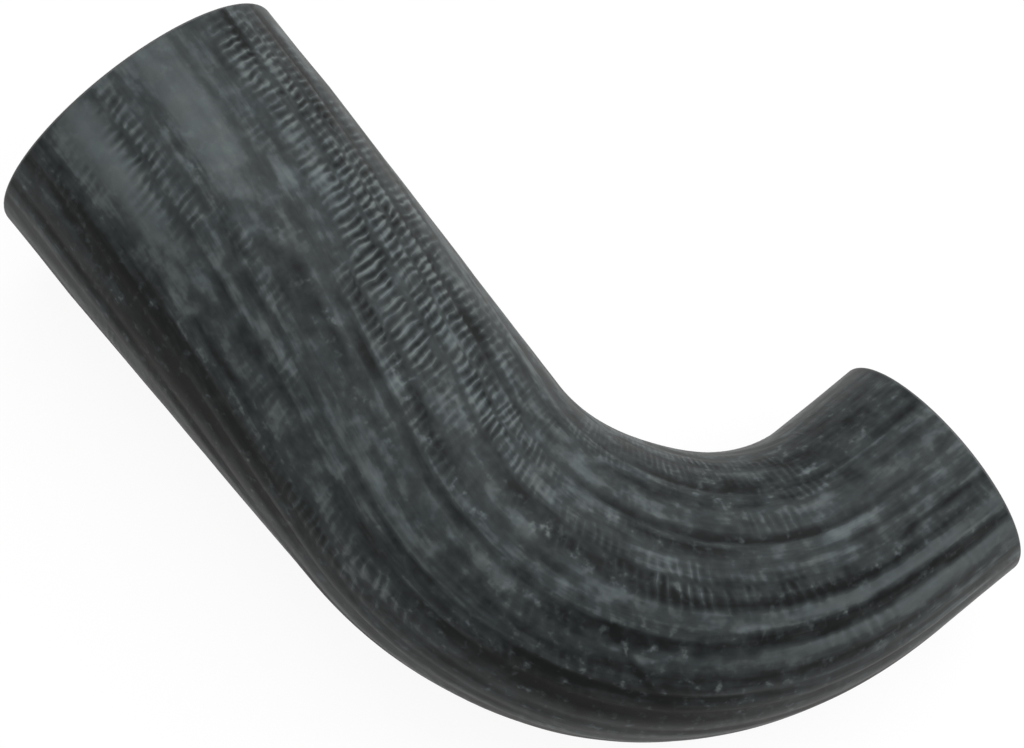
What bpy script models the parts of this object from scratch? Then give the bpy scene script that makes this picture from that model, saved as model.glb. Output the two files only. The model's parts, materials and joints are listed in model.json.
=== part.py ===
"""Moulded rubber charge-air hose: a right-angle elbow that narrows from one end to the other.

The hose is drawn with the centre of its wide end at the origin, its wide run along +X and its
bend turning towards +Y.  It is then laid on its side, as it comes to rest on a flat floor.
Lengths along the hose are measured on its centre line, from the wide end.  Angles round the hose
start on the inside of the bend and pass over its upper side.
"""

import math

import bmesh
import bpy
from mathutils import Vector

# Bores and wall
WIDE_BORE = 0.070
NARROW_BORE = 0.051
WALL = 0.005

# Centre line: a straight run, one bend and a short straight cuff
WIDE_RUN = 0.114
BEND_RADIUS = 0.072
BEND_ANGLE = math.radians(90.0)
NARROW_CUFF = 0.024

# Taper: parallel at the wide cuff, slow as far as the shoulder, then quicker to the bend's end
WIDE_CUFF = 0.025
SHOULDER_BORE = 0.062
SHOULDER_ANGLE = math.radians(35.0)

# Lengthwise bands that the cloth wrap leaves in the cover, with a shallow groove between two
BAND_COUNT = 32
BAND_START = math.radians(-3.5)
BAND_UNEVENNESS = 0.5
GROOVE_HALF_WIDTH = math.radians(2.2)
SHALLOW_GROOVE = 0.0002
DEEP_GROOVE = 0.0009
GROOVE_FADE = 0.012
BAND_TWIST = math.radians(55.0)

# Cut ends
EDGE_CHAMFER = 0.0006

# Spaces between the rings of the mesh, in each stretch
WIDE_CUFF_RINGS = 2
RUN_RINGS = 5
BEND_RINGS = 16
NARROW_CUFF_RINGS = 2

# Cover
COVER_COLOUR = (0.055, 0.062, 0.064, 1.0)
COVER_ROUGHNESS = 0.62
SHARP_EDGE = math.radians(40.0)

# Worked out from the sizes above
BEND_END = WIDE_RUN + BEND_RADIUS * BEND_ANGLE
HOSE_LENGTH = BEND_END + NARROW_CUFF
SHOULDER = WIDE_RUN + BEND_RADIUS * SHOULDER_ANGLE
UP = Vector((0.0, 0.0, 1.0))


def clear_scene():
    """Remove whatever the file opened with."""
    for item in list(bpy.data.objects):
        bpy.data.objects.remove(item, do_unlink=True)


def centre_line(along):
    """Point of the centre line at a length along it, and how far the hose has turned there."""
    turned = min(max((along - WIDE_RUN) / BEND_RADIUS, 0.0), BEND_ANGLE)
    before = min(along, WIDE_RUN)
    beyond = max(along - BEND_END, 0.0)
    point = Vector((
        before + BEND_RADIUS * math.sin(turned) + beyond * math.cos(turned),
        BEND_RADIUS * (1.0 - math.cos(turned)) + beyond * math.sin(turned),
        0.0,
    ))
    return point, turned


def bore_radius(along):
    """Radius of the bore: a slow cone up to the shoulder, then an eased reduction."""
    slope = (SHOULDER_BORE - WIDE_BORE) / 2.0 / (SHOULDER - WIDE_CUFF)
    if along <= SHOULDER:
        return WIDE_BORE / 2.0 + slope * max(along - WIDE_CUFF, 0.0)
    span = BEND_END - SHOULDER
    step = min((along - SHOULDER) / span, 1.0)
    start_weight = 2.0 * step ** 3 - 3.0 * step ** 2 + 1.0
    slope_weight = step ** 3 - 2.0 * step ** 2 + step
    return (
        start_weight * SHOULDER_BORE / 2.0
        + slope_weight * slope * span
        + (1.0 - start_weight) * NARROW_BORE / 2.0
    )


def twist(along):
    """How far the bands have turned round the hose, eased at both ends."""
    share = along / HOSE_LENGTH
    return BAND_TWIST * share * share * (3.0 - 2.0 * share)


def fade(along):
    """Share of a groove's depth: none at the cut ends, where the wrap is pressed flat."""
    return min(1.0, along / GROOVE_FADE, (HOSE_LENGTH - along) / GROOVE_FADE)


def scattered(number):
    """A share from 0 to 1 that jumps about as the whole number grows, by the golden ratio."""
    return number * (math.sqrt(5.0) - 1.0) / 2.0 % 1.0


def wrap_columns():
    """Angle and depth of each lengthwise column: each groove between the edges of two bands."""
    columns = []
    for index in range(BAND_COUNT):
        shift = BAND_UNEVENNESS * (scattered(index) - 0.5)
        groove = BAND_START + 2.0 * math.pi * (index + shift) / BAND_COUNT
        share = scattered(index * (2 * index + 1))
        depth = SHALLOW_GROOVE + (DEEP_GROOVE - SHALLOW_GROOVE) * share
        columns.append((groove - GROOVE_HALF_WIDTH, 0.0))
        columns.append((groove, depth))
        columns.append((groove + GROOVE_HALF_WIDTH, 0.0))
    return columns


def ring_lengths():
    """Lengths along the hose at which the cover has a ring."""
    last = HOSE_LENGTH - EDGE_CHAMFER
    stretches = (
        (EDGE_CHAMFER, WIDE_CUFF, WIDE_CUFF_RINGS),
        (WIDE_CUFF, WIDE_RUN, RUN_RINGS),
        (WIDE_RUN, BEND_END, BEND_RINGS),
        (BEND_END, last, NARROW_CUFF_RINGS),
    )
    lengths = []
    for start, end, spaces in stretches:
        lengths += [start + (end - start) * index / spaces for index in range(spaces)]
    return [*lengths, last]


def ring(mesh, along, radius, columns):
    """Add one ring of vertices, square to the centre line.

    The radius is that of the crowns, and the columns' depths are taken off it.
    """
    point, turned = centre_line(along)
    inward = Vector((-math.sin(turned), math.cos(turned), 0.0))
    vertices = []
    for start, depth in columns:
        angle = start + twist(along)
        spoke = math.cos(angle) * inward + math.sin(angle) * UP
        vertices.append(mesh.verts.new(point + (radius - depth * fade(along)) * spoke))
    return vertices


def hose_mesh():
    """The hose as one closed skin: along the cover, round the cut end and back along the bore."""
    columns = wrap_columns()
    bore_columns = [(angle, 0.0) for angle, depth in columns]
    lengths = ring_lengths()
    cover = [(along, bore_radius(along) + WALL, columns) for along in lengths]
    near_end = (0.0, bore_radius(0.0) + WALL - EDGE_CHAMFER, bore_columns)
    far_end = (HOSE_LENGTH, bore_radius(HOSE_LENGTH) + WALL - EDGE_CHAMFER, bore_columns)
    bore_lengths = [HOSE_LENGTH, *reversed(lengths[1:-1]), 0.0]
    bore = [(along, bore_radius(along), bore_columns) for along in bore_lengths]
    mesh = bmesh.new()
    rings = [ring(mesh, *station) for station in (near_end, *cover, far_end, *bore)]
    for index, here in enumerate(rings):
        following = rings[(index + 1) % len(rings)]
        for column in range(len(columns)):
            beside = (column + 1) % len(columns)
            mesh.faces.new((here[column], here[beside], following[beside], following[column]))
    bmesh.ops.recalc_face_normals(mesh, faces=mesh.faces)
    return mesh


def centre_of_mass(mesh):
    """Centroid of the solid that the closed skin holds."""
    total = 0.0
    moment = Vector()
    for corners in mesh.calc_loop_triangles():
        first, second, third = (corner.vert.co for corner in corners)
        volume = first.cross(second).dot(third) / 6.0
        total += volume
        moment += volume * (first + second + third) / 4.0
    return moment / total


def resting_turn(mesh):
    """Rotation that lays the hose on the face of its hull that takes its centre of mass lowest."""
    centre = centre_of_mass(mesh)
    shell = bmesh.new()
    for vertex in mesh.verts:
        shell.verts.new(vertex.co - centre)
    hull = bmesh.ops.convex_hull(shell, input=shell.verts)["geom"]
    corners = [item.co for item in hull if isinstance(item, bmesh.types.BMVert)]
    heights = []
    for face in hull:
        if isinstance(face, bmesh.types.BMFace):
            face.normal_update()
            outward = face.normal * math.copysign(1.0, face.normal.dot(face.verts[0].co))
            if outward.z < 0.0:
                heights.append((max(outward.dot(corner) for corner in corners), outward))
    height, down = min(heights, key=lambda pair: pair[0])
    turn = down.rotation_difference(-UP)
    shell.free()
    return turn


def cover_material():
    """Dark grey rubber."""
    material = bpy.data.materials.new("cover_rubber")
    material.use_nodes = True
    shader = material.node_tree.nodes["Principled BSDF"]
    shader.inputs["Base Color"].default_value = COVER_COLOUR
    shader.inputs["Roughness"].default_value = COVER_ROUGHNESS
    shader.inputs["Metallic"].default_value = 0.0
    return material


def lay_on_floor(hose, turn):
    """Turn the hose and stand the middle of its footprint at the origin, on the floor."""
    points = [turn @ vertex.co for vertex in hose.data.vertices]
    lowest = Vector([min(point[axis] for point in points) for axis in range(3)])
    highest = Vector([max(point[axis] for point in points) for axis in range(3)])
    middle = (lowest + highest) / 2.0
    hose.rotation_mode = "QUATERNION"
    hose.rotation_quaternion = turn
    hose.location = (-middle.x, -middle.y, -lowest.z)


def build():
    """Make the hose."""
    clear_scene()
    mesh = hose_mesh()
    turn = resting_turn(mesh)
    data = bpy.data.meshes.new("elbow_hose")
    mesh.to_mesh(data)
    mesh.free()
    data.materials.append(cover_material())
    data.shade_smooth()
    data.set_sharp_from_angle(angle=SHARP_EDGE)
    hose = bpy.data.objects.new("elbow_hose", data)
    bpy.context.scene.collection.objects.link(hose)
    lay_on_floor(hose, turn)
    bpy.context.view_layer.update()


build()
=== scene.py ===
"""Look of a moulded, cloth-wrapped rubber charge-air hose: an elbow that narrows as it turns.

The hose is one piece.  Geometry Nodes draw its skin in the hose's own frame: the centre of the
wide end at the origin, the wide run along +X and the bend turning towards +Y.  The two end faces
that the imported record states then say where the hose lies.

Lengths along the hose are measured on its centre line, from the wide end.  Angles round the hose
start on the inside of the bend and pass over its upper side.  The wrap leaves lengthwise bands in
the cover, with a groove between two, and courses of stitches that cross each band.
"""

import json
import math
from collections import namedtuple
from types import SimpleNamespace

import bpy
from mathutils import Euler, Matrix, Vector


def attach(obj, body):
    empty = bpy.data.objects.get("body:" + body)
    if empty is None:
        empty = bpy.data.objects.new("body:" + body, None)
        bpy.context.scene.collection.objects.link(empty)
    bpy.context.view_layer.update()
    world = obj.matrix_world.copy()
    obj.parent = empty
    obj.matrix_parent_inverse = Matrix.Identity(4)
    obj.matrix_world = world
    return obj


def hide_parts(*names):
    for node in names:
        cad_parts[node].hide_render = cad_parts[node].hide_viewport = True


bl_info = {
    "name": "Elbow Hose",
    "version": (1, 0, 0),
    "blender": (4, 5, 0),
    "location": "3D View > Sidebar > Elbow Hose",
    "description": "A cloth-wrapped rubber reducing elbow hose in a pale studio",
    "category": "Add Mesh",
}

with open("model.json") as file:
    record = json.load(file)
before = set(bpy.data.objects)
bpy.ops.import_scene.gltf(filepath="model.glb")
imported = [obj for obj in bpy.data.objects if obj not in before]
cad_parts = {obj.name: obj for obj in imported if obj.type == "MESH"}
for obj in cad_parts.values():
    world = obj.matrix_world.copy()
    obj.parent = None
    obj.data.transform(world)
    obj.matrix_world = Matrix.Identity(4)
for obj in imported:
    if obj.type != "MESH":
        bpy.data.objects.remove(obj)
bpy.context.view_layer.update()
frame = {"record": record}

PIECE_NAME = "wrapped_hose"
GOLDEN_SHARE = (math.sqrt(5.0) - 1.0) / 2.0

# Names of what the skin carries for its materials
PATTERN_MAP = "HoseUV"
BAKE_MAP = "OFBake"
TONE_AND_SHADE = "tone"
STITCHING = "stitching"
GROOVED = "grooved"
WRAPPED = "wrapped"

# Faces of the skin.  A cut end has three parts: a rounded edge, the flat cut and a rounded edge.
ROWS_PER_COURSE = 5
COLUMNS_PER_BAND = 4
BORE_ROWS = 48
ROWS_PER_RIM_PART = 4
RIM_PARTS = 3
QUARTER_TURN = math.pi / 2.0
MERGE_DISTANCE = 0.00001

# Strips of the bake map, side by side: where each starts and how wide it is
COVER_STRIP = (0.0, 0.74)
BORE_STRIP = (0.76, 0.16)
NARROW_RIM_STRIP = (0.935, 0.025)
WIDE_RIM_STRIP = (0.97, 0.025)

# Noises: how fine, how many octaves of finer waves, and how much those that run round the hose
# are squeezed lengthwise
Noise = namedtuple("Noise", "scale detail squeeze", defaults=(2.0, 1.0))
STRAY_NOISE = Noise(2.5, squeeze=25.0)
SLOW_NOISE = Noise(1.2, squeeze=25.0)
STREAK_NOISE = Noise(9.0, 3.0, 1.5)
LINE_NOISE = Noise(22.0, squeeze=2.0)
BAND_NOISE = Noise(1.0, 1.0)
RAGGED_NOISE = Noise(200.0, 1.0)
FRAYED_NOISE = Noise(220.0, 1.0)
WHOLE_NOISE = Noise(110.0)
FLECK_NOISE = Noise(420.0)
BLOTCH_NOISE = Noise(130.0, 4.0)
TINT_NOISE = Noise(150.0, 3.0)
MOTTLE_NOISE = Noise(240.0)
GRAIN_OCTAVES = 3.0

# Places of the bands in the band noise: how far apart two bands lie, how much they are squeezed
# lengthwise, and at which level they lie
BandPlace = namedtuple("BandPlace", "apart squeeze level")
MOOD_PLACE = BandPlace(7.3, 45.0, 0.0)
RUN_PLACE = BandPlace(3.7, 26.0, 5.0)

# Ranges that are spread from 0 to 1
RUN_RANGE = (0.30, 0.66)
WHOLE_RANGE = (0.34, 0.60)
FLECK_RANGE = (0.52, 0.84)
BLOTCH_RANGE = (0.42, 0.58)
PALENESS_RANGE = (-0.2, 1.18)

# Grooves: how far one reaches across the bands beside it, the least share of its depth along its
# run, how much of a stitch it flattens, how much noise changes the painted shade in it, and the
# power that widens the dark part of that painted shade
GROOVE_SHARE = 0.24
LEAST_GROOVE = 0.15
GROOVE_FLATTENING = 0.6
GROOVE_FRAY = 2.0
GROOVE_POWER = 0.7

# How far noise moves the edges of a band, in bands, and a course of stitches, in courses
BAND_FRAY = 0.7
COURSE_FRAY = 0.7

# Stitches: how much their strength changes along a band, the share of it that the weakest keeps,
# their strength where they are broken and its rise to where they are whole, the power that narrows
# the threads, and the steps from a course and from a band to the next that scatter the strengths
MOOD_WEIGHT = 1.2
LEAST_THREAD = 0.15
BROKEN_STRENGTH = 0.35
WHOLE_RISE = 0.75
THREAD_POWER = 1.3
COURSE_STEP = 17.0
BAND_STEP = 31.0

# How much each mark changes the cover's paleness, which is about 0 in the hollows and 1 in the
# bloom.  The tone and the grooves add painted shade, the threads painted highlight and the gaps
# painted shade.
EVEN_PALENESS = 0.52
WEIGHTS = SimpleNamespace(
    tone=0.95, thread=0.6, gap=0.34, streak=1.05, line=0.35, mottle=0.7, blotch=0.10, groove=0.40
)

# Pale patches have calmer marks, and dark ones, the painted shade among them, more flecks: how
# fast each grows with the tone and its painted shade and how far, and the flecks that are
# everywhere
CALM_GAIN = 5.0
MOST_CALM = 0.75
WORN_GAIN = -1.6
WORN_RISE = 0.6
LEAST_WORN = 0.10

# Finish of each rubber: size of its grain, roughness, what the mottle adds to that, and depth of
# its bumps.  The cover is rougher between its stitches, shares its bumps out between three marks
# and has a faint sheen.  The bore is up to twice as pale where its mottle is palest.
Finish = namedtuple("Finish", "grain roughness mottled bumps")
COVER_FINISH = Finish(0.0004, 0.56, 0.3, 0.00025)
PLAIN_FINISH = Finish(0.0003, 0.45, 0.2, 0.00012)
GAP_ROUGHNESS = 0.1
BUMPS = SimpleNamespace(thread=0.7, grain=0.1, ragged=0.3)
COVER_SPECULAR = 0.08
SHEEN = 0.10
SHEEN_ROUGHNESS = 0.45
PALER_BORE = 2.0

# Places on the upper side that are lighter or darker, or more strongly stitched, than the rest:
# middle along the hose in metres and angle in degrees of the bands there, followed back to the
# wide end; reach along and spread round; strength; and slant, in degrees for each metre.  The
# broad dark places on the outer side of the bend are painted shade.
Patch = namedtuple("Patch", "along degrees reach spread strength slant", defaults=(0.0,))
TONE_AND_SHADE_PATCHES = (
    Patch(0.016, 84.0, 0.032, 16.0, 0.16),
    Patch(0.015, 117.0, 0.025, 9.0, 0.22),
    Patch(0.130, 95.0, 0.030, 4.0, 0.20),
    Patch(0.140, 30.0, 0.016, 8.0, 0.06),
    Patch(0.210, 79.0, 0.045, 4.0, 0.26),
    Patch(0.225, 64.0, 0.035, 3.5, 0.24),
    Patch(0.236, 84.0, 0.016, 9.0, 0.06),
    Patch(0.008, 50.0, 0.014, 8.0, -0.20),
    # Painted shade: the next three darken the outer side of the bend
    Patch(0.050, 145.0, 0.040, 14.0, -0.42),
    Patch(0.088, 135.0, 0.030, 14.0, -0.34),
    Patch(0.164, 106.0, 0.034, 19.0, -0.54),
    Patch(0.190, 9.0, 0.030, 12.0, -0.24),
    Patch(0.225, -8.0, 0.028, 16.0, -0.26),
    Patch(0.015, 32.0, 0.014, 2.2, -0.42),
    Patch(0.038, 37.5, 0.020, 2.2, -0.36),
    Patch(0.030, 94.0, 0.026, 2.0, -0.30),
    Patch(0.038, 136.5, 0.034, 2.8, -0.42),
    Patch(0.038, 152.0, 0.034, 2.8, -0.35),
    Patch(0.075, 83.0, 0.024, 2.4, -0.54),
    Patch(0.108, 67.5, 0.026, 2.8, -0.44),
    Patch(0.145, 54.5, 0.026, 2.4, -0.46),
    Patch(0.165, 77.0, 0.022, 2.8, -0.51),
    Patch(0.175, 37.5, 0.020, 2.2, -0.54),
    Patch(0.198, 31.5, 0.018, 2.2, -0.51),
    Patch(0.200, 57.0, 0.042, 2.6, -0.77),
    Patch(0.205, 90.0, 0.026, 2.4, -0.45),
    Patch(0.215, 71.0, 0.035, 2.6, -0.74),
    Patch(0.170, 90.0, 0.0010, 16.0, -0.45, 2300.0),
)
STITCH_PATCHES = (
    Patch(0.030, 42.0, 0.036, 11.0, 1.00),
    Patch(0.020, 56.0, 0.030, 5.0, 0.80),
    Patch(0.088, 37.0, 0.034, 15.0, 1.00),
    Patch(0.082, 61.0, 0.028, 10.0, 0.95),
    Patch(0.018, 107.0, 0.022, 5.0, 0.60),
    Patch(0.158, 50.0, 0.034, 8.0, 0.40),
    Patch(0.190, 52.0, 0.026, 7.0, 0.35),
    Patch(0.182, -3.0, 0.026, 10.0, 0.60),
    Patch(0.118, 123.0, 0.016, 14.0, 0.50),
)


def length(name, text, default):
    """Property for a length in metres."""
    return bpy.props.FloatProperty(name=name, description=text, default=default, unit="LENGTH")


def angle(name, text, degrees):
    """Property for an angle."""
    return bpy.props.FloatProperty(
        name=name, description=text, default=math.radians(degrees), subtype="ANGLE"
    )


def share(name, text, default):
    """Property for a plain number."""
    return bpy.props.FloatProperty(name=name, description=text, default=default)


def count(name, text, default):
    """Property for how many there are."""
    return bpy.props.IntProperty(name=name, description=text, default=default, min=1)


def colour(name, text, default):
    """Property for a colour, linear."""
    return bpy.props.FloatVectorProperty(
        name=name, description=text, default=default, subtype="COLOR", min=0.0, max=1.0
    )


class HoseSizes(bpy.types.PropertyGroup):
    """Driving sizes of the moulding."""

    wide_bore: length("Wide Bore", "Bore at the wide end", 0.070)
    narrow_bore: length("Narrow Bore", "Bore at the narrow end", 0.051)
    wall: length("Wall", "Thickness of the wall", 0.005)
    wide_run: length("Wide Run", "Straight length before the bend", 0.114)
    bend_radius: length("Bend Radius", "Radius of the bend's centre line", 0.072)
    bend_angle: angle("Bend Angle", "How far the bend turns", 90.0)
    narrow_cuff: length("Narrow Cuff", "Straight length after the bend", 0.024)
    wide_cuff: length("Wide Cuff", "Parallel length at the wide end", 0.025)
    shoulder_bore: length("Shoulder Bore", "Bore where it starts to narrow faster", 0.062)
    shoulder_angle: angle("Shoulder Angle", "How far round the bend the shoulder is", 35.0)
    edge: length("Edge", "Rounding of the cut edges", 0.0006)


class WrapSizes(bpy.types.PropertyGroup):
    """Marks that the cloth wrap leaves in the cover."""

    bands: count("Bands", "Lengthwise bands round the hose", 32)
    band_start: angle("Band Start", "Where the first groove is", -3.5)
    band_twist: angle("Band Twist", "Turn of the bands from end to end", 55.0)
    unevenness: share("Unevenness", "How far a groove strays, in bands", 0.5)
    shallow: length("Shallow Groove", "Depth of the shallowest groove", 0.0001)
    deep: length("Deep Groove", "Depth of the deepest groove", 0.0005)
    fade: length("Groove Fade", "Length over which the grooves begin", 0.012)
    crown: length("Crown", "Rise of a band over its edges", 0.00010)
    courses: count("Courses", "Courses of stitches from end to end", 106)
    stitch: length("Stitch", "Rise of a stitch over the gaps beside it", 0.00016)
    lean: share("Lean", "Lean of a stitch, in courses for each band", -0.5)
    wander: length("Wander", "How far a course strays", 0.0005)
    hand: length("Hand", "Slow rise and fall of the cover", 0.0003)


class HoseColours(bpy.types.PropertyGroup):
    """Colours of the rubber."""

    # Hollow is the darkest colour of the cover and stands mostly for painted shade: in the
    # grooves, in the gaps between stitches and on the outer side of the bend.  Bloom, the palest,
    # is partly pale rubber and partly painted highlight on the threads.
    hollow_shade: colour("Hollow", "Rubber in the grooves", (0.002, 0.0026, 0.0028))
    ground: colour("Ground", "Rubber of the cover", (0.029, 0.034, 0.036))
    bloom: colour("Bloom", "Rubber where it is rubbed pale", (0.105, 0.120, 0.122))
    cool: colour("Cool Tint", "Tint of the bluer places", (0.92, 0.99, 1.0))
    warm: colour("Warm Tint", "Tint of the browner places", (1.0, 0.96, 0.93))
    dust: colour("Dust", "Haze of the cloth's nap", (0.95, 0.90, 0.86))
    bore: colour("Bore", "Rubber of the bore and the cut ends", (0.020, 0.021, 0.022))


class StudioSettings(bpy.types.PropertyGroup):
    """Camera, floor and light. Places are in the hose's own frame."""

    camera_place: bpy.props.FloatVectorProperty(
        name="Camera", description="Camera's place", default=(0.1843, -0.0965, 0.5847),
        subtype="TRANSLATION"
    )
    camera_turn: bpy.props.FloatVectorProperty(
        name="Camera Turn", description="Camera's rotation", default=(0.2362, -0.0843, 0.8894),
        subtype="EULER"
    )
    lens: share("Lens", "Focal length in millimetres", 88.8)
    surround: share("Surround", "Strength of the light from all round", 0.32)
    key: share("Key", "Power of the main softbox in watts", 24.0)
    fill: share("Fill", "Power of the second softbox in watts", 4.0)
    floor: colour("Floor", "Colour of the floor", (0.85, 0.85, 0.85))


class Number:
    """A number in a node tree. Arithmetic on it adds Math nodes to the tree."""

    def __init__(self, tree, socket):
        self.tree = tree
        self.socket = socket

    def __add__(self, other):
        return calculate(self.tree, "ADD", self, other)

    def __sub__(self, other):
        return calculate(self.tree, "SUBTRACT", self, other)

    def __rsub__(self, other):
        return calculate(self.tree, "SUBTRACT", other, self)

    def __mul__(self, other):
        return calculate(self.tree, "MULTIPLY", self, other)

    def __truediv__(self, other):
        return calculate(self.tree, "DIVIDE", self, other)

    def __mod__(self, other):
        return calculate(self.tree, "FLOORED_MODULO", self, other)

    def __pow__(self, other):
        return calculate(self.tree, "POWER", self, other)

    __radd__ = __add__
    __rmul__ = __mul__

    def __rtruediv__(self, other):
        return calculate(self.tree, "DIVIDE", other, self)

    def sine(self):
        """Sine of this angle."""
        return calculate(self.tree, "SINE", self)

    def cosine(self):
        """Cosine of this angle."""
        return calculate(self.tree, "COSINE", self)

    def exponential(self):
        """The base of natural logarithms raised to this number."""
        return calculate(self.tree, "EXPONENT", self)

    def floor(self):
        """The whole number below this one."""
        return calculate(self.tree, "FLOOR", self)

    def nearest(self):
        """The whole number nearest to this one."""
        return calculate(self.tree, "ROUND", self)

    def size(self):
        """This number without its sign."""
        return calculate(self.tree, "ABSOLUTE", self)

    def above(self, limit):
        """1 where this number is more than the limit, and 0 elsewhere."""
        return calculate(self.tree, "GREATER_THAN", self, limit)

    def within(self, low, high):
        """This number, held between two others."""
        return calculate(self.tree, "MINIMUM", calculate(self.tree, "MAXIMUM", self, low), high)

    def eased(self, start, end):
        """A share that rises smoothly from 0 at the start to 1 at the end."""
        node = self.tree.nodes.new("ShaderNodeMapRange")
        node.interpolation_type = "SMOOTHSTEP"
        feed(self.tree, self, node.inputs["Value"])
        feed(self.tree, start, node.inputs["From Min"])
        feed(self.tree, end, node.inputs["From Max"])
        return Number(self.tree, node.outputs["Result"])


def feed(tree, value, socket):
    """Give a socket its value: a link from a number in the tree, or a plain setting."""
    if isinstance(value, Number):
        tree.links.new(value.socket, socket)
    else:
        socket.default_value = value


def calculate(tree, operation, *values):
    """Result of one Math node."""
    node = tree.nodes.new("ShaderNodeMath")
    node.operation = operation
    for value, socket in zip(values, node.inputs):
        feed(tree, value, socket)
    return Number(tree, node.outputs[0])


def vector(tree, *parts):
    """Vector of three numbers."""
    node = tree.nodes.new("ShaderNodeCombineXYZ")
    for value, socket in zip(parts, node.inputs):
        feed(tree, value, socket)
    return node.outputs["Vector"]


def parts_of(tree, source):
    """First two numbers of a vector."""
    node = tree.nodes.new("ShaderNodeSeparateXYZ")
    tree.links.new(source, node.inputs["Vector"])
    return Number(tree, node.outputs["X"]), Number(tree, node.outputs["Y"])


def noise(tree, source, kind):
    """Smooth noise about 0.5."""
    node = tree.nodes.new("ShaderNodeTexNoise")
    feed(tree, kind.scale, node.inputs["Scale"])
    feed(tree, kind.detail, node.inputs["Detail"])
    tree.links.new(source, node.inputs["Vector"])
    return Number(tree, node.outputs["Fac"])


def noise_round(tree, turn, along, kind):
    """Noise that runs round the hose and along it with no seam."""
    around = turn * math.tau
    source = vector(tree, around.cosine(), around.sine(), along * kind.squeeze)
    return noise(tree, source, kind)


def noise_by_band(tree, index, along, place):
    """Noise that runs along each band and has nothing to do with the next band's."""
    source = vector(tree, index * place.apart, along * place.squeeze, place.level)
    return noise(tree, source, BAND_NOISE)


def scattered(number):
    """A share from 0 to 1 that jumps about as the whole number grows, by the golden ratio."""
    return number * GOLDEN_SHARE % 1.0


def at_least(least, amount):
    """A share that is the least one where an amount is 0, and 1 where it is 1."""
    return least + (1.0 - least) * amount


# ---------------------------------------------------------------- the hose's skin

def add_inputs(tree, *groups):
    """Give the tree an input for each size of the property groups, and return them by key."""
    names = {}
    for group in groups:
        for key in group.__annotations__:
            setting = group.bl_rna.properties[key]
            kind = "NodeSocketInt" if setting.type == "INT" else "NodeSocketFloat"
            tree.interface.new_socket(setting.name, in_out="INPUT", socket_type=kind)
            names[key] = setting.name
    entry = tree.nodes.new("NodeGroupInput")
    numbers = {key: Number(tree, entry.outputs[name]) for key, name in names.items()}
    return SimpleNamespace(**numbers)


def set_inputs(modifier, *settings):
    """Set the modifier's inputs, each by its identifier, from the settings of the same name."""
    values = {}
    for group in settings:
        for key in type(group).__annotations__:
            values[group.bl_rna.properties[key].name] = getattr(group, key)
    for socket in modifier.node_group.interface.items_tree:
        if socket.in_out == "INPUT":
            modifier[socket.identifier] = values[socket.name]


def bend_end(size):
    """Length along the hose at which the bend ends."""
    return size.wide_run + size.bend_radius * size.bend_angle


def full_length(size):
    """Length of the hose on its centre line."""
    return bend_end(size) + size.narrow_cuff


def bore_radius(size, along):
    """Radius of the bore: a slow cone up to the shoulder, then an eased reduction."""
    shoulder = size.wide_run + size.bend_radius * size.shoulder_angle
    taper = shoulder - size.wide_cuff
    slope = (size.shoulder_bore - size.wide_bore) * 0.5 / taper
    cone = size.wide_bore * 0.5 + slope * (along - size.wide_cuff).within(0.0, taper)
    span = bend_end(size) - shoulder
    step = ((along - shoulder) / span).within(0.0, 1.0)
    arrived = step.eased(0.0, 1.0)
    leaving = step * (1.0 - step) * (1.0 - step) * slope * span
    return (1.0 - arrived) * cone + leaving + arrived * size.narrow_bore * 0.5


def hose_point(tree, size, along, around, radius):
    """Point at a radius from the centre line, at a length along it and an angle round it."""
    turned = ((along - size.wide_run) / size.bend_radius).within(0.0, size.bend_angle)
    before = along.within(0.0, size.wide_run)
    beyond = (along - bend_end(size)).within(0.0, size.narrow_cuff)
    sine = turned.sine()
    cosine = turned.cosine()
    inward = radius * around.cosine()
    return vector(
        tree,
        before + size.bend_radius * sine + beyond * cosine - inward * sine,
        size.bend_radius * (1.0 - cosine) + beyond * sine + inward * cosine,
        radius * around.sine(),
    )


def band_at(size, turn):
    """Band at a share of the turn round the hose: its number, and how far across it, 0 to 1.

    The columns of a band lie at the groove before it, beside that groove, on its crown and
    beside the next groove.
    """
    column = (turn * size.bands * COLUMNS_PER_BAND).nearest()
    step = column % COLUMNS_PER_BAND
    beside = step.within(0.0, 1.0) * GROOVE_SHARE
    beyond = (step - 1.0).within(0.0, 2.0) * (0.5 - GROOVE_SHARE)
    return (column - step) / COLUMNS_PER_BAND, beside + beyond


def groove_angle(size, index):
    """Angle of a groove at the wide end."""
    stray = size.unevenness * (scattered(index % size.bands) - 0.5)
    return size.band_start + (index + stray) * math.tau / size.bands


def groove_depth(size, index):
    """Depth of a groove's full run."""
    number = index % size.bands
    return size.shallow + (size.deep - size.shallow) * scattered(number * (number * 2.0 + 1.0))


def stitch_phase(index):
    """How far a band's courses are shifted, in whole rows of faces."""
    return (scattered(index * 3.0 + 1.0) * ROWS_PER_COURSE).floor() / ROWS_PER_COURSE


def course_at(wrap, progress, number, across):
    """Course of stitches at a share of the hose's length and a place on a band."""
    return progress * wrap.courses + stitch_phase(number) + wrap.lean * (across - 0.5)


def patched(patches, along, start):
    """Sum of soft patches at a place on the hose, given by its angle at the wide end."""
    total = 0.0
    for patch in patches:
        off = start - math.radians(patch.degrees)
        ahead = along - patch.along
        if patch.slant:
            ahead = ahead - off / math.radians(patch.slant)
        lengthwise = ahead / patch.reach
        crosswise = off / math.radians(patch.spread)
        outward = lengthwise * lengthwise + crosswise * crosswise
        total = (outward * -1.0).exponential() * patch.strength + total
    return total


def grid(tree, rows, columns):
    """A sheet of faces, with its share along and its share round at each of its points."""
    node = tree.nodes.new("GeometryNodeMeshGrid")
    feed(tree, rows + 1, node.inputs["Vertices X"])
    feed(tree, columns + 1, node.inputs["Vertices Y"])
    return node.outputs["Mesh"], *parts_of(tree, node.outputs["UV Map"])


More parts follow.
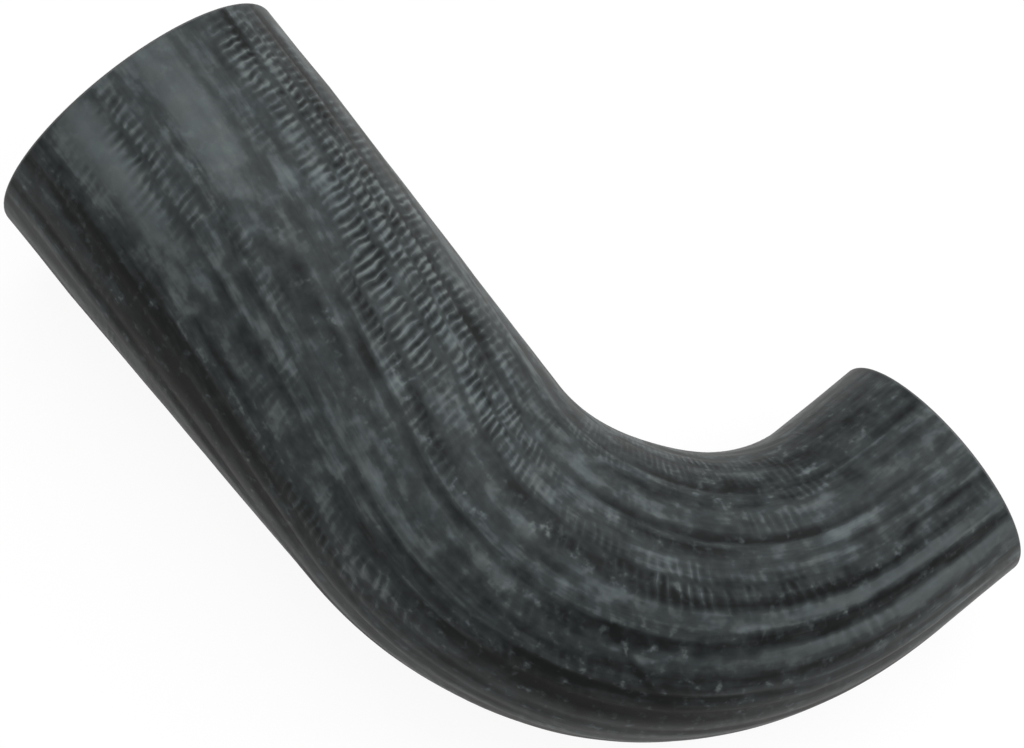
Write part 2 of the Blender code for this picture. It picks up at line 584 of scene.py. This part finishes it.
def store(tree, geometry, name, value, kind="FLOAT", domain="POINT"):
    """Geometry that carries a value under a name."""
    node = tree.nodes.new("GeometryNodeStoreNamedAttribute")
    node.data_type = kind
    node.domain = domain
    node.inputs["Name"].default_value = name
    tree.links.new(geometry, node.inputs["Geometry"])
    if isinstance(value, bpy.types.NodeSocket):
        tree.links.new(value, node.inputs["Value"])
    else:
        feed(tree, value, node.inputs["Value"])
    return node.outputs["Geometry"]


def lay_out(tree, geometry, place, progress, turn, strip):
    """Move the points of a sheet to their place, and give it its pattern and bake maps."""
    start, width = strip
    pattern = vector(tree, progress, turn, 0.0)
    baked = vector(tree, progress * width + start, turn, 0.0)
    geometry = store(tree, geometry, PATTERN_MAP, pattern, "FLOAT2", "CORNER")
    geometry = store(tree, geometry, BAKE_MAP, baked, "FLOAT2", "CORNER")
    node = tree.nodes.new("GeometryNodeSetPosition")
    tree.links.new(geometry, node.inputs["Geometry"])
    tree.links.new(place, node.inputs["Position"])
    return node.outputs["Geometry"]


def twist(size, along):
    """How far the bands have turned round the hose at a length along it."""
    progress = along / full_length(size)
    return size.band_twist * progress * progress * (3.0 - 2.0 * progress)


def turn_angle(size, index, across, along):
    """Angle round the hose of a place on a band, at a length along it."""
    start = groove_angle(size, index)
    width = groove_angle(size, index + 1.0) - start
    return start + width * across + twist(size, along)


def upper_place(size, along, around):
    """Length and first angle of the place on the upper side that has the marks of a place.

    The underside has those of the upper side, turned end for end.
    """
    facing = around % math.tau
    under = facing.above(math.pi)
    folded = math.pi - (facing - math.pi).size()
    mirrored = along + under * (full_length(size) - along * 2.0)
    return mirrored, folded - twist(size, mirrored)


def cover_sheet(tree, size):
    """The cover, from the wide end to the narrow one, with the marks of the wrap."""
    rows = size.courses * ROWS_PER_COURSE
    mesh, progress, turn = grid(tree, rows, size.bands * COLUMNS_PER_BAND)
    hose_length = full_length(size)
    index, across = band_at(size, turn)
    band_turn = (index + across) / size.bands
    from_end = (progress * hose_length).within(0.0, hose_length * (1.0 - progress))
    fade = (from_end / size.fade).within(0.0, 1.0)

    even = size.edge + progress * (hose_length - size.edge * 2.0)
    stray = noise_round(tree, band_turn, even, STRAY_NOISE) - 0.5
    along = even + stray * 2.0 * size.wander * fade
    around = turn_angle(size, index, across, along)

    mirrored, start = upper_place(size, along, around)
    # Tone of the cover, with painted shade on the outer side of the bend
    tone = patched(TONE_AND_SHADE_PATCHES, mirrored, start)
    mood = noise_by_band(tree, index, along, MOOD_PLACE) - 0.5
    planned = patched(STITCH_PATCHES, mirrored, start)
    stitching = (planned + mood * MOOD_WEIGHT).within(0.0, 1.0)

    groove = (1.0 - across / GROOVE_SHARE).within(0.0, 1.0)
    run = noise_by_band(tree, index, along, RUN_PLACE).eased(*RUN_RANGE)
    depth = groove * groove_depth(size, index) * at_least(LEAST_GROOVE, run)
    off_crown = (across - 0.5) * 2.0
    course = course_at(size, progress, index % size.bands, across)
    between = 0.5 - 0.5 * (course * math.tau).cosine()
    gap = between * stitching * (1.0 - groove * GROOVE_FLATTENING)
    slow = noise_round(tree, band_turn, along, SLOW_NOISE)
    relief = depth + off_crown * off_crown * size.crown + gap * size.stitch + slow * size.hand
    radius = bore_radius(size, along) + size.wall - relief * fade

    place = hose_point(tree, size, along, around, radius)
    sheet = lay_out(tree, mesh, place, progress, band_turn, COVER_STRIP)
    sheet = store(tree, sheet, TONE_AND_SHADE, tone)
    sheet = store(tree, sheet, STITCHING, stitching)
    sheet = store(tree, sheet, GROOVED, depth / size.deep)
    return store(tree, sheet, WRAPPED, 1.0, domain="FACE")


def bore_sheet(tree, size):
    """The bore, from the narrow end back to the wide one."""
    mesh, progress, turn = grid(tree, BORE_ROWS, size.bands * COLUMNS_PER_BAND)
    hose_length = full_length(size)
    index, across = band_at(size, turn)
    along = hose_length - size.edge - progress * (hose_length - size.edge * 2.0)
    around = turn_angle(size, index, across, along)
    place = hose_point(tree, size, along, around, bore_radius(size, along))
    return lay_out(tree, mesh, place, progress, (index + across) / size.bands, BORE_STRIP)


def rim_sheet(tree, size, at_narrow_end):
    """One cut end: a rounded outer edge, the flat cut and a rounded inner edge."""
    columns = size.bands * COLUMNS_PER_BAND
    mesh, progress, turn = grid(tree, RIM_PARTS * ROWS_PER_RIM_PART, columns)
    index, across = band_at(size, turn)
    inwards = progress if at_narrow_end else 1.0 - progress
    done = [(inwards * RIM_PARTS - part).within(0.0, 1.0) for part in range(RIM_PARTS)]
    outer = done[0] * QUARTER_TURN
    flat = done[1]
    inner = done[2] * QUARTER_TURN
    set_back = size.edge * (2.0 - outer.sine() - inner.cosine())
    along = full_length(size) - set_back if at_narrow_end else set_back
    around = turn_angle(size, index, across, along)
    rounding = size.edge * (1.0 - outer.cosine() + inner.sine())
    inset = rounding + (size.wall - size.edge * 2.0) * flat
    radius = bore_radius(size, along) + size.wall - inset
    place = hose_point(tree, size, along, around, radius)
    strip = NARROW_RIM_STRIP if at_narrow_end else WIDE_RIM_STRIP
    return lay_out(tree, mesh, place, progress, (index + across) / size.bands, strip)


def hose_tree(cover, plain):
    """Node tree that makes the hose's closed skin and gives it its two materials."""
    tree = bpy.data.node_groups.new("elbow_hose", "GeometryNodeTree")
    size = add_inputs(tree, HoseSizes, WrapSizes)
    tree.interface.new_socket("Geometry", in_out="OUTPUT", socket_type="NodeSocketGeometry")
    join = tree.nodes.new("GeometryNodeJoinGeometry")
    sheets = (
        cover_sheet(tree, size),
        rim_sheet(tree, size, True),
        bore_sheet(tree, size),
        rim_sheet(tree, size, False),
    )
    for sheet in sheets:
        tree.links.new(sheet, join.inputs["Geometry"])
    merge = tree.nodes.new("GeometryNodeMergeByDistance")
    merge.inputs["Distance"].default_value = MERGE_DISTANCE
    flip = tree.nodes.new("GeometryNodeFlipFaces")
    smooth = tree.nodes.new("GeometryNodeSetShadeSmooth")
    realize = tree.nodes.new("GeometryNodeRealizeInstances")
    everywhere = tree.nodes.new("GeometryNodeSetMaterial")
    everywhere.inputs["Material"].default_value = plain
    outside = tree.nodes.new("GeometryNodeSetMaterial")
    outside.inputs["Material"].default_value = cover
    wrapped = tree.nodes.new("GeometryNodeInputNamedAttribute")
    wrapped.inputs["Name"].default_value = WRAPPED
    tree.links.new(wrapped.outputs["Attribute"], outside.inputs["Selection"])
    leave = tree.nodes.new("NodeGroupOutput")
    steps = (join, merge, flip, smooth, realize, everywhere, outside, leave)
    for before, after in zip(steps, steps[1:]):
        tree.links.new(before.outputs[0], after.inputs[0])
    return tree


# ---------------------------------------------------------------- materials

def rubber_grain_group():
    """Shader group: mottle and fine grain of cured rubber, in Object coordinates."""
    tree = bpy.data.node_groups.new("rubber_grain", "ShaderNodeTree")
    tree.interface.new_socket("Grain Size", in_out="INPUT", socket_type="NodeSocketFloat")
    tree.interface.new_socket("Mottle", in_out="OUTPUT", socket_type="NodeSocketFloat")
    tree.interface.new_socket("Grain", in_out="OUTPUT", socket_type="NodeSocketFloat")
    entry = tree.nodes.new("NodeGroupInput")
    leave = tree.nodes.new("NodeGroupOutput")
    place = tree.nodes.new("ShaderNodeTexCoord").outputs["Object"]
    fineness = 1.0 / Number(tree, entry.outputs["Grain Size"])
    feed(tree, noise(tree, place, MOTTLE_NOISE), leave.inputs["Mottle"])
    feed(tree, noise(tree, place, Noise(fineness, GRAIN_OCTAVES)), leave.inputs["Grain"])
    return tree


def place_grain(tree, group, grain_size):
    """Put the grain group in a material, and return its mottle and its grain."""
    node = tree.nodes.new("ShaderNodeGroup")
    node.node_tree = group
    node.inputs["Grain Size"].default_value = grain_size
    return Number(tree, node.outputs["Mottle"]), Number(tree, node.outputs["Grain"])


def new_material(name):
    """An empty node material, its tree and its shader."""
    material = bpy.data.materials.new(name)
    material.use_nodes = True
    tree = material.node_tree
    return material, tree, tree.nodes["Principled BSDF"]


def attribute(tree, name):
    """A number that the skin carries."""
    node = tree.nodes.new("ShaderNodeAttribute")
    node.attribute_name = name
    return Number(tree, node.outputs["Fac"])


def bump(tree, shader, height, distance):
    """Let a height, in shares of a distance, tilt the shader's surface."""
    node = tree.nodes.new("ShaderNodeBump")
    node.inputs["Distance"].default_value = distance
    feed(tree, height, node.inputs["Height"])
    tree.links.new(node.outputs["Normal"], shader.inputs["Normal"])


def shade_between(tree, paleness, colours):
    """Colour for a paleness from 0 to 1, through the given colours."""
    ramp = tree.nodes.new("ShaderNodeValToRGB")
    elements = ramp.color_ramp.elements
    while len(elements) < len(colours):
        elements.new(0.5)
    for number, shade in enumerate(colours):
        elements[number].position = number / (len(colours) - 1)
        elements[number].color = (*shade, 1.0)
    feed(tree, paleness, ramp.inputs["Fac"])
    return ramp.outputs["Color"]


def tinted(tree, shade, tint):
    """Colour multiplied by a tint."""
    node = tree.nodes.new("ShaderNodeMix")
    node.data_type = "RGBA"
    node.blend_type = "MULTIPLY"
    node.inputs["Factor"].default_value = 1.0
    colours = [socket for socket in node.inputs if socket.type == "RGBA"]
    for source, socket in zip((shade, tint), colours):
        tree.links.new(source, socket)
    return next(socket for socket in node.outputs if socket.type == "RGBA")


def cover_material(grain_group, wrap, colours):
    """Wrapped rubber: banded, streaked along the hose and crossed by courses of stitches, with
    painted highlight on the threads and painted shade in the gaps, the grooves and on the outer
    side of the bend.
    """
    material, tree, shader = new_material("wrapped_rubber")
    uv = tree.nodes.new("ShaderNodeUVMap")
    uv.uv_map = PATTERN_MAP
    along, turn = parts_of(tree, uv.outputs["UV"])
    place = tree.nodes.new("ShaderNodeTexCoord").outputs["Object"]
    mottle, grain = place_grain(tree, grain_group, COVER_FINISH.grain)
    mottle = mottle - 0.5
    ragged = noise(tree, place, RAGGED_NOISE) - 0.5
    frayed = noise(tree, place, FRAYED_NOISE) - 0.5

    band = turn * wrap.bands + frayed * BAND_FRAY
    index = band.floor()
    across = band - index
    number = index % wrap.bands
    course = course_at(wrap, along, number, across) + ragged * COURSE_FRAY
    each = scattered(course.floor() * COURSE_STEP + number * BAND_STEP)

    strand = (course * math.tau).cosine() * 0.5 + 0.5
    inside = across.eased(0.0, GROOVE_SHARE) * (1.0 - across.eased(1.0 - GROOVE_SHARE, 1.0))
    whole = noise(tree, place, WHOLE_NOISE).eased(*WHOLE_RANGE)
    stitched = attribute(tree, STITCHING) * inside * (whole * WHOLE_RISE + BROKEN_STRENGTH)
    # Painted highlight on the raised threads and painted shade in the gaps between them
    thread = strand ** THREAD_POWER * stitched * at_least(LEAST_THREAD, each)
    gap = (1.0 - strand) * stitched

    # Painted shade in the grooves: the colour darkens as the groove deepens
    uneven = 1.0 + frayed * GROOVE_FRAY
    groove = (attribute(tree, GROOVED) * uneven).within(0.0, 1.0) ** GROOVE_POWER
    streak = noise_round(tree, turn, along, STREAK_NOISE) - 0.5
    line = noise_round(tree, turn, along, LINE_NOISE) - 0.5
    fleck = noise(tree, place, FLECK_NOISE).eased(*FLECK_RANGE)
    blotch = noise(tree, place, BLOTCH_NOISE).eased(*BLOTCH_RANGE) - 0.5

    # Tone of the cover, with painted shade on the outer side of the bend
    tone = attribute(tree, TONE_AND_SHADE)
    calm = (tone * CALM_GAIN).within(0.0, MOST_CALM)
    worn = (tone * WORN_GAIN).within(0.0, WORN_RISE) + LEAST_WORN
    marks = streak * WEIGHTS.streak + line * WEIGHTS.line + mottle * WEIGHTS.mottle
    # Blotches in the rubber's tone, less the painted shade of the grooves
    marks = marks + blotch * WEIGHTS.blotch - groove * WEIGHTS.groove
    paleness = EVEN_PALENESS + tone * WEIGHTS.tone
    # Painted highlight on the threads, painted shade in the gaps
    paleness = paleness + thread * WEIGHTS.thread - gap * WEIGHTS.gap
    paleness = paleness + marks * (1.0 - calm) + fleck * worn
    shades = (colours.hollow_shade, colours.ground, colours.bloom)
    shade = shade_between(tree, paleness.eased(*PALENESS_RANGE), shades)
    tint = shade_between(tree, noise(tree, place, TINT_NOISE), (colours.cool, colours.warm))
    tree.links.new(tinted(tree, shade, tint), shader.inputs["Base Color"])

    roughness = COVER_FINISH.roughness + mottle * COVER_FINISH.mottled + gap * GAP_ROUGHNESS
    feed(tree, roughness, shader.inputs["Roughness"])
    shader.inputs["Specular IOR Level"].default_value = COVER_SPECULAR
    shader.inputs["Sheen Weight"].default_value = SHEEN
    shader.inputs["Sheen Roughness"].default_value = SHEEN_ROUGHNESS
    shader.inputs["Sheen Tint"].default_value = (*colours.dust, 1.0)
    height = thread * BUMPS.thread + grain * BUMPS.grain + ragged * BUMPS.ragged
    bump(tree, shader, height, COVER_FINISH.bumps)
    return material


def plain_material(grain_group, colours):
    """Plain rubber of the bore and the cut ends."""
    material, tree, shader = new_material("plain_rubber")
    mottle, grain = place_grain(tree, grain_group, PLAIN_FINISH.grain)
    paler = tuple(PALER_BORE * part for part in colours.bore)
    shade = shade_between(tree, mottle, (colours.bore, paler))
    tree.links.new(shade, shader.inputs["Base Color"])
    roughness = PLAIN_FINISH.roughness + mottle * PLAIN_FINISH.mottled
    feed(tree, roughness, shader.inputs["Roughness"])
    bump(tree, shader, grain, PLAIN_FINISH.bumps)
    return material


# ---------------------------------------------------------------- place in the frame

def hose_pose(sizes):
    """Matrix from the hose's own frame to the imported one, from the record's two end faces."""
    faces = {mount["name"]: mount for mount in frame["record"]["mounts"]}
    wide = faces["wide_end_face"]
    run = -Vector(wide["axis"])
    leaving = Vector(faces["narrow_end_face"]["axis"])
    inward = (leaving - leaving.dot(run) * run).normalized()
    mid_wall = (sizes.wide_bore + sizes.wall) / 2.0
    centre = Vector(wide["pos_m"]) - mid_wall * inward
    turn = Matrix((run, inward, run.cross(inward))).transposed()
    return Matrix.Translation(centre) @ turn.to_4x4()


def plain_mesh(tree, name, *settings):
    """Mesh that a node tree makes from the settings, with nothing left to evaluate."""
    maker = bpy.data.objects.new(name + "_maker", bpy.data.meshes.new(name + "_maker"))
    modifier = maker.modifiers.new(name, "NODES")
    modifier.node_group = tree
    set_inputs(modifier, *settings)
    bpy.context.scene.collection.objects.link(maker)
    evaluated = maker.evaluated_get(bpy.context.evaluated_depsgraph_get())
    mesh = bpy.data.meshes.new_from_object(evaluated)
    mesh.name = name
    bpy.data.objects.remove(maker, do_unlink=True)
    return mesh


class HOSE_OT_hose(bpy.types.Operator):
    """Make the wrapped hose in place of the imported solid."""

    bl_idname = "hose.make_hose"
    bl_label = "Make Hose"

    def execute(self, context):
        scene = context.scene
        grain_group = rubber_grain_group()
        cover = cover_material(grain_group, scene.hose_wrap, scene.hose_colours)
        plain = plain_material(grain_group, scene.hose_colours)
        tree = hose_tree(cover, plain)
        mesh = plain_mesh(tree, PIECE_NAME, scene.hose_sizes, scene.hose_wrap)
        mesh.transform(hose_pose(scene.hose_sizes))
        hose = bpy.data.objects.new(PIECE_NAME, mesh)
        scene.collection.objects.link(hose)
        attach(hose, "root")
        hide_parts("elbow_hose")
        return {"FINISHED"}


# ---------------------------------------------------------------- studio

WHITE = (1.0, 1.0, 1.0, 1.0)
FLOOR_SIZE = 6.0
FLOOR_ROUGHNESS = 0.9
WHITE_SHARE = 0.92
SOFTBOX_SIZE = 1.4
KEY_PLACE = Vector((0.10, 0.55, 1.05))
FILL_PLACE = Vector((-0.5, -0.6, 0.9))
HOSE_MIDDLE = Vector((0.10, 0.02, 0.0))


def seen_share(tree):
    """1 for rays from the camera, and for those that gloss or glass sends back."""
    path = tree.nodes.new("ShaderNodeLightPath")
    total = Number(tree, path.outputs["Is Camera Ray"])
    for name in ("Is Glossy Ray", "Is Transmission Ray"):
        total = total + Number(tree, path.outputs[name])
    return total.within(0.0, 1.0)


def floor_material(shade):
    """Pale floor that the camera sees as nearly white, with the hose's shadow on it."""
    material, tree, shader = new_material("pale_floor")
    shader.inputs["Base Color"].default_value = (*shade, 1.0)
    shader.inputs["Roughness"].default_value = FLOOR_ROUGHNESS
    white = tree.nodes.new("ShaderNodeEmission")
    mix = tree.nodes.new("ShaderNodeMixShader")
    feed(tree, seen_share(tree) * WHITE_SHARE, mix.inputs[0])
    tree.links.new(shader.outputs["BSDF"], mix.inputs[1])
    tree.links.new(white.outputs["Emission"], mix.inputs[2])
    tree.links.new(mix.outputs["Shader"], tree.nodes["Material Output"].inputs["Surface"])
    return material


def add_floor(shade):
    """Flat floor under the hose."""
    half = FLOOR_SIZE / 2.0
    mesh = bpy.data.meshes.new("floor")
    corners = [(-half, -half, 0.0), (half, -half, 0.0), (half, half, 0.0), (-half, half, 0.0)]
    mesh.from_pydata(corners, [], [(0, 1, 2, 3)])
    mesh.materials.append(floor_material(shade))
    floor = bpy.data.objects.new("floor", mesh)
    bpy.context.scene.collection.objects.link(floor)


def add_softbox(name, pose, place, power):
    """Square softbox at a place in the hose's own frame, aimed at the hose."""
    light = bpy.data.lights.new(name, "AREA")
    light.size = SOFTBOX_SIZE
    light.energy = power
    lamp = bpy.data.objects.new(name, light)
    lamp.location = pose @ place
    aim = pose @ HOSE_MIDDLE - lamp.location
    lamp.rotation_euler = aim.to_track_quat("-Z", "Y").to_euler()
    bpy.context.scene.collection.objects.link(lamp)


def set_world(strength):
    """Even light from all round, with a white background behind it."""
    world = bpy.data.worlds.new("studio")
    world.use_nodes = True
    tree = world.node_tree
    background = tree.nodes["Background"]
    background.inputs["Color"].default_value = WHITE
    seen = seen_share(tree)
    feed(tree, seen + (1.0 - seen) * strength, background.inputs["Strength"])
    bpy.context.scene.world = world


def add_camera(pose, studio):
    """Camera that looks down at the hose as the photograph does."""
    data = bpy.data.cameras.new("camera")
    data.lens = studio.lens
    camera = bpy.data.objects.new("camera", data)
    own = Matrix.Translation(studio.camera_place) @ Euler(studio.camera_turn).to_matrix().to_4x4()
    camera.matrix_world = pose @ own
    bpy.context.scene.collection.objects.link(camera)
    bpy.context.scene.camera = camera


class HOSE_OT_studio(bpy.types.Operator):
    """Set up the floor, the lights and the camera."""

    bl_idname = "hose.make_studio"
    bl_label = "Make Studio"

    def execute(self, context):
        studio = context.scene.hose_studio
        pose = hose_pose(context.scene.hose_sizes)
        add_floor(studio.floor)
        add_softbox("key", pose, KEY_PLACE, studio.key)
        add_softbox("fill", pose, FILL_PLACE, studio.fill)
        set_world(studio.surround)
        add_camera(pose, studio)
        context.scene.view_settings.view_transform = "Standard"
        return {"FINISHED"}


class HOSE_PT_panel(bpy.types.Panel):
    """Sizes, colours and steps of the hose."""

    bl_idname = "HOSE_PT_panel"
    bl_label = "Elbow Hose"
    bl_space_type = "VIEW_3D"
    bl_region_type = "UI"
    bl_category = "Elbow Hose"

    def draw(self, context):
        for name, group in SETTINGS.items():
            settings = getattr(context.scene, name)
            for key in group.__annotations__:
                self.layout.prop(settings, key)
        for operator in OPERATORS:
            self.layout.operator(operator.bl_idname)


SETTINGS = {
    "hose_sizes": HoseSizes,
    "hose_wrap": WrapSizes,
    "hose_colours": HoseColours,
    "hose_studio": StudioSettings,
}
OPERATORS = (HOSE_OT_hose, HOSE_OT_studio)
CLASSES = (*SETTINGS.values(), *OPERATORS, HOSE_PT_panel)


def register():
    """Register the classes and give each scene its settings."""
    for item in CLASSES:
        bpy.utils.register_class(item)
    for name, group in SETTINGS.items():
        setattr(bpy.types.Scene, name, bpy.props.PointerProperty(type=group))


def unregister():
    """Take the settings and the classes away again."""
    for name in SETTINGS:
        delattr(bpy.types.Scene, name)
    for item in reversed(CLASSES):
        bpy.utils.unregister_class(item)


def main():
    """Make the hose and the studio."""
    register()
    bpy.ops.hose.make_hose()
    bpy.ops.hose.make_studio()


if __name__ == "__main__":
    main()
